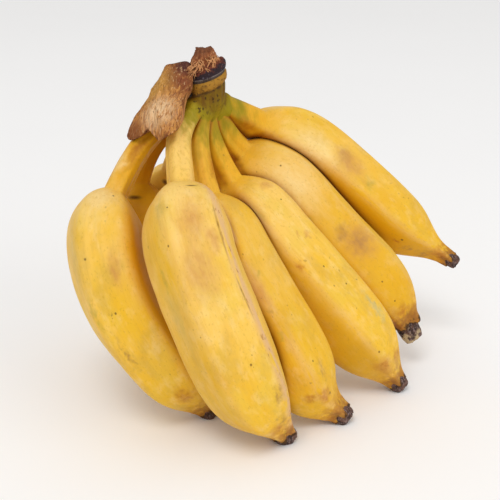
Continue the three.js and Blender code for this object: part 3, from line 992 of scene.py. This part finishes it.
def neck_coats(tree, settings, where, pale, body):
    """Coats that the fruits' necks share with the crown, so that one runs into the other."""
    waver = blotches(tree, where, (5, 5, 12), 0.25, 0.8, 0.014, start=2.0)
    bare = add(tree, "ShaderNodeMath", {0: 1.0, 1: body}, operation="SUBTRACT")
    creamy = add(tree, "ShaderNodeMath", {0: pale, 1: 0.62}, operation="MULTIPLY", use_clamp=True)
    golden = add(tree, "ShaderNodeMath", {0: 0.85, 1: pale}, operation="SUBTRACT", use_clamp=True)
    # Below 0, pale gives painted shade, a red-brown, on a neck that lies in shade.
    shaded = add(tree, "ShaderNodeMath", {0: pale, 1: -0.9}, operation="MULTIPLY", use_clamp=True)
    streaks = blotches(tree, where, (1.6, 1.6, 14), 0.45, 0.7, 0.35, start=5.0)
    return [
        (both(tree, bare, golden), settings.gold),
        (both(tree, bare, creamy), settings.cream),
        (both(tree, bare, streaks), "C0921C"),
        (both(tree, bare, shaded), "A8520A"),
        (patch(tree, where, CROWN_MIDDLE, 18, 42, 0.97, waver), settings.green),
    ]


# Uneven patterns of the peel: size round and along the fruit in millimetres, low and high cover, strength,
# detail and seed. Peel cells are about 0.1 mm across, too fine to show, so its pores are drawn at 1 mm.
PEEL_CLOUDS = {
    "cream": (20, 34, 0.3, 0.62, 1.0, 5.0, 0),
    "golden": (16, 30, 0.5, 0.72, 0.35, 3.0, 4),
    "lemon": (13, 22, 0.46, 0.66, 0.45, 4.0, 16),
    "streaks": (1.0, 26, 0.45, 0.75, 0.3, 3.0, 1),
    "smudges": (9, 15, 0.48, 0.7, 0.42, 5.0, 13),
    "mottle": (4, 7, 0.45, 0.75, 0.28, 4.0, 14),
    "under": (12, 30, 0.02, 0.45, 1.0, 3.0, 12),
    "gap": (9, 24, 0.1, 0.7, 1.0, 3.0, 0),
    "worn": (2.2, 16, 0.34, 0.52, 1.0, 3.0, 7),
    "chafed": (1.2, 4, 0.6, 0.7, 1.0, 3.0, 8),
    "pores": (0.9, 1.3, 0.6, 0.72, 0.24, 1.0, 2),
    "freckles": (1.9, 2.4, 0.7, 0.76, 0.5, 1.0, 3),
    "freckled": (14, 20, 0.5, 0.65, 1.0, 3.0, 6),
    "tip spots": (2.6, 3.8, 0.34, 0.56, 1.0, 3.0, 15),
    "tip stains": (2.1, 3, 0.2, 0.52, 1.0, 3.0, 17),
    "ragged": (2.5, 4, 0.3, 0.75, 0.004, 3.0, 9),
    "wax": (6, 12, 0.3, 0.7, 0.14, 3.0, 10),
    "fibres": (0.9, 14, 0.3, 0.7, 0.8, 3.0, 11),
}
SEED_STEP = 3.7
# How creamy every fruit is, and how much more a pale one. The cream is partly the peel's wax bloom and
# partly painted light on the upper parts.
CREAMY = 0.52
CREAMIER = 0.3


def make_peel(fruit, index, settings):
    """Ripe banana peel: a waxy cuticle over soft yellow flesh, so it is satin, creamy where the wax is thick,
    deep gold where it is thin, and lets a little light in. Its colour also holds painted light: cream on the
    upper parts, and painted shade, a deeper gold and brown, on the faces turned from the light, in the
    hollows and between the fruits."""
    # Light goes a millimetre or two into the peel and comes out warmer, and fine wax catches it at the edges.
    material, tree, shader = new_finish(f"banana_peel_{fruit['name']}", {
        "IOR": 1.45, "Specular IOR Level": 0.2, "Sheen Weight": 0.05, "Sheen Roughness": 0.4,
        "Sheen Tint": linear("FFEFC4"), "Subsurface Weight": 0.08, "Subsurface Radius": (1.0, 0.7, 0.25),
        "Subsurface Scale": 0.002,
    })
    ridge, body, pale, to_tip, pressed, deep = (
        add(tree, "ShaderNodeAttribute", out=2, attribute_name=name)
        for name in ("ridge", "body", "pale", "to_tip", "pressed", "deep"))
    skin = add(tree, "ShaderNodeAttribute", out=1, attribute_name="straight")
    where = add(tree, "ShaderNodeTexCoord", out=3)
    along = add(tree, "ShaderNodeSeparateXYZ", {0: skin}, out=2)

    def cloud(name, strength=None):
        across, length, low, high, full, detail, seed = PEEL_CLOUDS[name]
        full = full if strength is None else strength
        size = (across, across, length)
        return blotches(tree, skin, size, low, high, full, detail, index * SEED_STEP + seed)

    creaminess = CREAMY + CREAMIER * clamp(fruit["pale"])
    upper_lit = fade(tree, to_tip, 0.12, 0.015)
    bare = add(tree, "ShaderNodeMath", {0: 1.0, 1: body}, operation="SUBTRACT")
    # Painted shade between the fruits: a deeper gold near a neighbour, darker where they nearly touch.
    gap_shade_wide = add(tree, "ShaderNodeMath", {0: pressed, 1: 2.0}, operation="POWER")
    gap_shade_tight = add(tree, "ShaderNodeMath", {0: pressed, 1: 6.0}, operation="POWER")
    from_tip = total(tree, to_tip, cloud("ragged"))
    paint(tree, shader, settings.yellow, [
        # Cream: partly wax bloom, partly painted light, fading out towards the tip.
        (both(tree, cloud("cream", creaminess), upper_lit, body), settings.cream),
        (both(tree, cloud("golden"), body), settings.gold),
        (both(tree, cloud("lemon"), body), "E3C04C"),
        (both(tree, cloud("streaks"), body), "D9A63A"),
        (cloud("smudges"), "C8A14A"),
        (both(tree, cloud("mottle"), body), "FBDFA0"),
        *neck_coats(tree, settings, where, pale, body),
        # Painted shade, a deeper gold, on the faces turned from the light, partly the peel's own tone.
        (both(tree, deep, cloud("under")), "DBA208"),
        # Painted shade in the gaps between fruits: deeper gold, brown at the necks, dark brown where they
        # touch.
        (both(tree, gap_shade_wide, cloud("gap")), "C88A0A"),
        (both(tree, gap_shade_wide, bare, fade(tree, along, 0.030, 0.016, 0.9)), "9E5806"),
        (both(tree, gap_shade_tight, 0.75), "763602"),
        (both(tree, ridge, cloud("worn", fruit["worn"])), "D9AE7C"),
        (both(tree, ridge, cloud("chafed", fruit["worn"])), "A9733C"),
        *mark_coats(tree, fruit, skin),
        (cloud("pores"), "B98A2E"),
        (both(tree, cloud("freckles"), cloud("freckled")), "7E5A26"),
        (both(tree, fade(tree, from_tip, 0.006, 0.02, 0.75), cloud("tip spots")), "B8761C"),
        (both(tree, fade(tree, from_tip, 0.0035, 0.0115, 0.85), cloud("tip stains")), "94602A"),
        (fade(tree, from_tip, 0.0022, 0.0042, 0.92), "3A2618"),
    ])
    dry = fade(tree, from_tip, 0.001, 0.007, 0.3)
    tree.links.new(total(tree, cloud("wax"), dry, 0.4), shader.inputs["Roughness"])
    grain = add(tree, "ShaderNodeTexNoise", {"Vector": skin, "Scale": 1100.0, "Detail": 2.0})
    roughen(tree, shader, [grain, cloud("fibres")], 0.35, 0.12)
    return material


def collar_level(tree, where, height):
    """Height in metres over the tilted plane that lies at the given height in the crown's middle."""
    foot = Vector((COLLAR["x"], COLLAR["y"], height)) * MM
    off = add(tree, "ShaderNodeVectorMath", {0: where, 1: foot}, operation="SUBTRACT")
    square = (-COLLAR["slope"], -COLLAR["slope"] * BACK_RISE, 1)
    return add(tree, "ShaderNodeVectorMath", {0: off, 1: square}, out=1, operation="DOT_PRODUCT")


def make_crown_flesh(settings):
    """Crown of a cut hand: green fibrous flesh under a dry tan collar, with sap specks and a dark crease."""
    material, tree, shader = new_finish("crown_stem_flesh", {
        "Roughness": 0.6, "IOR": 1.43, "Specular IOR Level": 0.2, "Subsurface Weight": 0.08,
        "Subsurface Radius": (1.0, 0.7, 0.2), "Subsurface Scale": 0.002,
    })
    where = add(tree, "ShaderNodeTexCoord", out=3)
    pale, groove = (
        add(tree, "ShaderNodeAttribute", out=2, attribute_name=name) for name in ("pale", "groove"))
    high = collar_level(tree, where, COLLAR["crease"])
    off = add(tree, "ShaderNodeMath", {0: high}, operation="ABSOLUTE")
    off = total(tree, off, blotches(tree, where, (3, 3, 3), 0.3, 0.7, 0.0012))
    collar = fade(tree, high, 0.0006, -0.0004)
    # The brown of the cut fades out before the crown ends on the necks, so its edge stays unseen.
    heart = patch(tree, where, CROWN_MIDDLE, 9.5, 13.5)
    brown = both(tree, heart, fade(tree, high, -0.001, -0.014),
                 blotches(tree, where, (2.4, 2.4, 7), 0.38, 0.62, 0.75, start=1.0))
    streaks = blotches(tree, where, (1.1, 1.1, 12), 0.48, 0.66, 0.55, start=3.0)
    specks = blotches(tree, where, (1.5, 1.5, 1.8), 0.6, 0.68, 0.9, 1.0, 4.0)
    paint(tree, shader, settings.yellow, [
        *neck_coats(tree, settings, where, pale, 0.0),
        (both(tree, streaks, fade(tree, high, -0.004, -0.024)), "A58A12"),
        (both(tree, heart, fade(tree, high, -0.001, -0.018, 0.8)), "6C4A04"),
        # Painted shade, dark brown, in the crown's grooves between the necks below the collar.
        (both(tree, groove, fade(tree, high, -0.001, 0.001, 0.8)), "5A3204"),
        (brown, "64420A"),
        (both(tree, specks, fade(tree, high, -0.002, -0.016)), "3A250C"),
        (collar, "A47628"),
        (both(tree, collar, blotches(tree, where, (2, 2, 1.6), 0.45, 0.65, 0.7, start=6.0)), "7C5820"),
        (both(tree, collar, blotches(tree, where, (1.2, 1.2, 1.2), 0.62, 0.7, 0.8, 1.0, 7.0)), "5A3B18"),
        # Painted shadow, dark brown, along the crease under the collar's edge.
        (fade(tree, off, 0.0005, 0.0014, 0.85), "4C3415"),
    ])
    grain = blotches(tree, where, (0.7, 0.7, 6), 0.25, 0.75, start=8.0)
    pits = add(tree, "ShaderNodeTexNoise", {"Vector": where, "Scale": 900.0, "Detail": 3.0})
    roughen(tree, shader, [grain, pits], 0.5, 0.2)
    return material


# Places on the husk that have a colour of their own.
HUSK_RUBBED = (-53.5, 3, 141.5)
HUSK_TORN = (-44.5, 14, 158.5)
HUSK_PURPLE = (-43, 19, 162.5)
HUSK_SMOOTH = (-58, 16, 153)
HUSK_POINT = (-67, 3, 132.5)


def make_husk_fibre():
    """Dry stalk skin: matt tan fibre, nearly white where it is rubbed, red-brown where it tore."""
    material, tree, shader = new_finish("dry_stalk_husk", {
        "Roughness": 0.85, "IOR": 1.5, "Specular IOR Level": 0.25})
    where = add(tree, "ShaderNodeTexCoord", out=3)
    grain = add(tree, "ShaderNodeAttribute", out=1, attribute_name="grain")
    rim = add(tree, "ShaderNodeAttribute", out=2, attribute_name="rim")
    rubbed = both(tree, patch(tree, where, HUSK_RUBBED, 2, 13),
                  blotches(tree, grain, (0.9, 1.6, 5), 0.28, 0.54, 0.95))
    torn = both(tree, patch(tree, where, HUSK_TORN, 4, 14.5, 0.88),
                blotches(tree, grain, (1.3, 2, 4), 0.28, 0.52))
    edge = both(tree, fade(tree, rim, 1.0, 0.86), blotches(tree, grain, (3, 3, 9), 0.4, 0.6, 0.8, start=4.0))
    paint(tree, shader, "D2924C", [
        (blotches(tree, grain, (1.6, 3, 10), 0.42, 0.62, 0.6), "B5703C"),
        (blotches(tree, grain, (0.7, 2, 5), 0.48, 0.6, 0.75, start=2.0), "8A4C26"),
        (rubbed, "FFD9A8"),
        (torn, "7C4028"),
        (patch(tree, where, HUSK_PURPLE, 2, 7.5, 0.85), "4E2C2A"),
        (patch(tree, where, HUSK_SMOOTH, 4, 14, 0.75), "CE9A48"),
        (patch(tree, where, HUSK_POINT, 3, 9, 0.8), "8E532B"),
        (edge, "6B3A1E"),
        (blotches(tree, grain, (0.7, 1, 3.6), 0.57, 0.69, 0.5, start=5.0), "E6BE8C"),
        (blotches(tree, grain, (1.0, 1, 2), 0.63, 0.72, 0.6, 2.0, 6.0), "5E3018"),
    ])
    fibres = blotches(tree, grain, (0.6, 1.5, 9), 0.2, 0.8, start=7.0)
    crumbs = add(tree, "ShaderNodeTexNoise", {"Vector": grain, "Scale": 900.0, "Detail": 4.0})
    roughen(tree, shader, [fibres, crumbs], 0.9, 0.7)
    return material


def make_stalk_fibre():
    """Torn stalk: a blue-black dried sap ring round orange-brown pithy fibre, matt all over."""
    material, tree, shader = new_finish("torn_stalk_fibre", {
        "Roughness": 0.8, "IOR": 1.5, "Specular IOR Level": 0.3})
    where = add(tree, "ShaderNodeTexCoord", out=3)
    loose = add(tree, "ShaderNodeAttribute", out=2, attribute_name="loose")
    high = collar_level(tree, where, STALK_RINGS[-2][2])
    torn = total(tree, high, blotches(tree, where, (2.2, 2.2, 2.2), 0.25, 0.75, 0.0024))
    bloom = both(tree, fade(tree, torn, 0.0036, 0.0052),
                 blotches(tree, where, (0.8, 0.8, 0.8), 0.6, 0.68, 0.5, 1.0))
    # Painted highlight, light grey, along the rim of the cut.
    rim_highlight = both(tree, fade(tree, high, 0.0004, 0.0008),
                     blotches(tree, where, (1.6, 1.6, 9), 0.34, 0.5, 0.7))
    paint(tree, shader, "A9683C", [
        (blotches(tree, where, (1.3, 1.3, 5), 0.42, 0.6, 0.8), "8E4E2A"),
        (blotches(tree, where, (0.9, 0.9, 3), 0.55, 0.66, 0.8, start=2.0), "5E2F1C"),
        (blotches(tree, where, (1.1, 1.1, 2), 0.6, 0.68, 0.7, start=3.0), "DDA878"),
        (fade(tree, torn, 0.0135, 0.0095, 0.6), "5E3522"),
        (fade(tree, torn, 0.0046, 0.0086, 0.8), "65291F"),
        (fade(tree, torn, 0.0036, 0.0052, 0.95), "241B22"),
        (bloom, "6E6672"),
        (rim_highlight, "8E827C"),
        (fade(tree, high, 0.0001, 0.0004, 0.8), "3E3026"),
        (both(tree, loose, blotches(tree, where, (2.4, 2.4, 2.4), 0.3, 0.5, 0.95, start=6.0)), "DB9E68"),
    ])
    fibres = blotches(tree, where, (0.6, 0.6, 4), 0.2, 0.8, start=7.0)
    crumbs = add(tree, "ShaderNodeTexNoise", {"Vector": where, "Scale": 1100.0, "Detail": 4.0})
    roughen(tree, shader, [fibres, crumbs], 0.9, 0.5)
    return material


def make_withered(name, light):
    """Withered flower: brown-black, dry and fibrous, with grey bloom; where it has opened it also has cream
    patches, partly pale pith and partly painted highlight.
    """
    material, tree, shader = new_finish(name, {"Roughness": 0.85, "IOR": 1.5, "Specular IOR Level": 0.25})
    where = add(tree, "ShaderNodeTexCoord", out=3)
    inner = add(tree, "ShaderNodeAttribute", out=2, attribute_name="inner")
    paint(tree, shader, "3A2A26", [
        (blotches(tree, where, (2.2, 2.2, 2.2), 0.4, 0.58, 0.85), "6A4C40"),
        (blotches(tree, where, (0.8, 0.8, 1.6), 0.5, 0.62, 0.7, start=2.0), "8C7670"),
        (both(tree, inner, blotches(tree, where, (1.4, 1.4, 1.4), 0.4, 0.6, 0.7, start=3.0)), "8A7768"),
        # Cream patches for the opened end: partly pale pith, partly painted highlight.
        (blotches(tree, where, (5, 5, 5), 0.47, 0.6, light, start=4.0), "CDB48A"),
        (blotches(tree, where, (0.9, 0.9, 1.2), 0.62, 0.7, 0.7, 1.0, 5.0), "120D0B"),
    ])
    crumbs = add(tree, "ShaderNodeTexNoise", {"Vector": where, "Scale": 1000.0, "Detail": 4.0})
    roughen(tree, shader, [crumbs], 0.9, 0.5)
    return material


def make_floor_finish(colour):
    """Matt white studio sheet, with a slight unevenness in its whiteness."""
    material, tree, shader = new_finish("white_studio_sheet", {
        "Roughness": 0.9, "IOR": 1.45, "Specular IOR Level": 0.1})
    where = add(tree, "ShaderNodeTexCoord", out=3)
    paint(tree, shader, colour, [(blotches(tree, where, (400, 400, 400), 0.3, 0.7, 0.3), "F8F7F6")])
    return material


# Camera of the photograph: its height above the horizon, distance from the point in the image's middle, and
# focal length on the sensor's width.
CAMERA = {"elevation": 21, "distance": 540, "target": (-13, -9, 80), "lens": 82.8, "sensor": 36}
FLOOR_RADIUS = 4.0
# Soft lights: name, width and place, in metres.
LIGHTS = (("key", 1.1, (-0.45, -1.55, 2.5)), ("fill", 1.6, (1.7, -1.3, 0.9)))


def make_stage(settings):
    """Pale floor, white surround, a large soft light from above the front, a weaker one from the right."""
    scene = bpy.context.scene
    bm = bmesh.new()
    bmesh.ops.create_circle(bm, cap_ends=True, segments=96, radius=FLOOR_RADIUS)
    mesh = bpy.data.meshes.new("floor")
    bm.to_mesh(mesh)
    bm.free()
    mesh.materials.append(make_floor_finish(settings.floor))
    floor = bpy.data.objects.new("floor", mesh)
    scene.collection.objects.link(floor)

    world = bpy.data.worlds.new("white_room")
    world.use_nodes = True
    room = world.node_tree.nodes["Background"].inputs
    room["Color"].default_value = (1, 1, 1, 1)
    room["Strength"].default_value = settings.surround
    scene.world = world
    scene.view_settings.view_transform = "Standard"

    target = Vector(CAMERA["target"]) * MM
    for name, size, place in LIGHTS:
        light = bpy.data.lights.new(name, "AREA")
        light.energy = getattr(settings, f"{name}_power")
        light.size = size
        lamp = bpy.data.objects.new(name, light)
        lamp.location = place
        lamp.rotation_euler = (Vector(place) - target).to_track_quat("Z", "Y").to_euler()
        scene.collection.objects.link(lamp)

    elevation = math.radians(CAMERA["elevation"])
    back = Vector((0, -math.cos(elevation), math.sin(elevation)))
    data = bpy.data.cameras.new("camera")
    data.lens = CAMERA["lens"]
    data.sensor_width = CAMERA["sensor"]
    camera = bpy.data.objects.new("camera", data)
    camera.location = target + back * CAMERA["distance"] * MM
    camera.rotation_euler = (math.pi / 2 - elevation, 0, 0)
    scene.collection.objects.link(camera)
    scene.camera = camera


class HAND_OT_fruits(bpy.types.Operator):
    """Adds the eight bananas' peels, each pressed against the ones before it"""

    bl_idname = "hand.fruits"
    bl_label = "Fruits"

    def execute(self, context):
        settings = context.scene.hand_peel
        shapes, trees = [], []
        for index, fruit in enumerate(FRUITS):
            shapes.append(make_fruit(fruit, index, settings, trees))
            trees.append(BVHTree.FromBMesh(shapes[-1]))
        for index, (fruit, bm) in enumerate(zip(FRUITS, shapes)):
            mark_gap_shade(bm, trees[:index] + trees[index + 1:])
            name = fruit["name"]
            finish_piece(f"peel_{name}", bm, make_peel(fruit, index, settings), [f"finger_{name}"])
        return {"FINISHED"}


class HAND_OT_crown(bpy.types.Operator):
    """Adds the crown over the fruits' necks, so the fruits have to be there already"""

    bl_idname = "hand.crown"
    bl_label = "Crown"

    def execute(self, context):
        necks = []
        for fruit in FRUITS:
            bm = bmesh.new()
            bm.from_mesh(bpy.data.objects[f"peel_{fruit['name']}"].data)
            necks.append(BVHTree.FromBMesh(bm))
            bm.free()
        crown = make_crown(context.scene.hand_crown, necks)
        look = make_crown_flesh(context.scene.hand_peel)
        finish_piece("crown_flesh", crown, look, ["crown"])
        return {"FINISHED"}


class HAND_OT_flower_ends(bpy.types.Operator):
    """Adds the withered flower end of every banana"""

    bl_idname = "hand.flower_ends"
    bl_label = "Flower ends"

    def execute(self, context):
        closed = make_withered("withered_flower", 0.0)
        # The opened end has cream patches that are partly painted highlight.
        opened = make_withered("withered_flower_opened", 0.8)
        for index, fruit in enumerate(FRUITS):
            look = opened if fruit["torn"] else closed
            node = f"flower_end_{fruit['name']}"
            finish_piece(f"withered_{node}", make_flower_end(fruit, index), look, [node])
        return {"FINISHED"}


class HAND_OT_stalk(bpy.types.Operator):
    """Adds the torn stalk end on the crown"""

    bl_idname = "hand.stalk"
    bl_label = "Stalk end"

    def execute(self, context):
        finish_piece("torn_stalk", make_stalk_end(), make_stalk_fibre(), ["stalk_end"])
        return {"FINISHED"}


class HAND_OT_husk(bpy.types.Operator):
    """Adds the dry husk that hangs over the crown"""

    bl_idname = "hand.husk"
    bl_label = "Husk"

    def execute(self, context):
        finish_piece("dry_husk", make_husk(), make_husk_fibre(), ["crown_husk"])
        return {"FINISHED"}


class HAND_OT_stage(bpy.types.Operator):
    """Adds the floor, the lights and the camera"""

    bl_idname = "hand.stage"
    bl_label = "Stage"

    def execute(self, context):
        make_stage(context.scene.hand_stage)
        return {"FINISHED"}


class HAND_PT_panel(bpy.types.Panel):
    """Lists the pieces of the hand of bananas"""

    bl_idname = "HAND_PT_panel"
    bl_label = "Hand of bananas"
    bl_space_type = "VIEW_3D"
    bl_region_type = "UI"
    bl_category = "Bananas"

    def draw(self, context):
        for settings in (context.scene.hand_peel, context.scene.hand_crown, context.scene.hand_stage):
            for name in settings.__annotations__:
                self.layout.prop(settings, name)
        for operator in OPERATORS:
            self.layout.operator(operator.bl_idname)


GROUPS = {"hand_peel": PeelSettings, "hand_crown": CrownSettings, "hand_stage": StageSettings}
OPERATORS = [
    HAND_OT_stage, HAND_OT_fruits, HAND_OT_crown, HAND_OT_flower_ends, HAND_OT_stalk, HAND_OT_husk]


def register():
    for group in GROUPS.values():
        bpy.utils.register_class(group)
    for name, group in GROUPS.items():
        setattr(bpy.types.Scene, name, PointerProperty(type=group))
    for cls in (*OPERATORS, HAND_PT_panel):
        bpy.utils.register_class(cls)


def unregister():
    for cls in (HAND_PT_panel, *OPERATORS):
        bpy.utils.unregister_class(cls)
    for name, group in GROUPS.items():
        delattr(bpy.types.Scene, name)
        bpy.utils.unregister_class(group)


def main():
    register()
    bpy.ops.hand.stage()
    bpy.ops.hand.fruits()
    bpy.ops.hand.crown()
    bpy.ops.hand.flower_ends()
    bpy.ops.hand.stalk()
    bpy.ops.hand.husk()


if __name__ == "__main__":
    main()
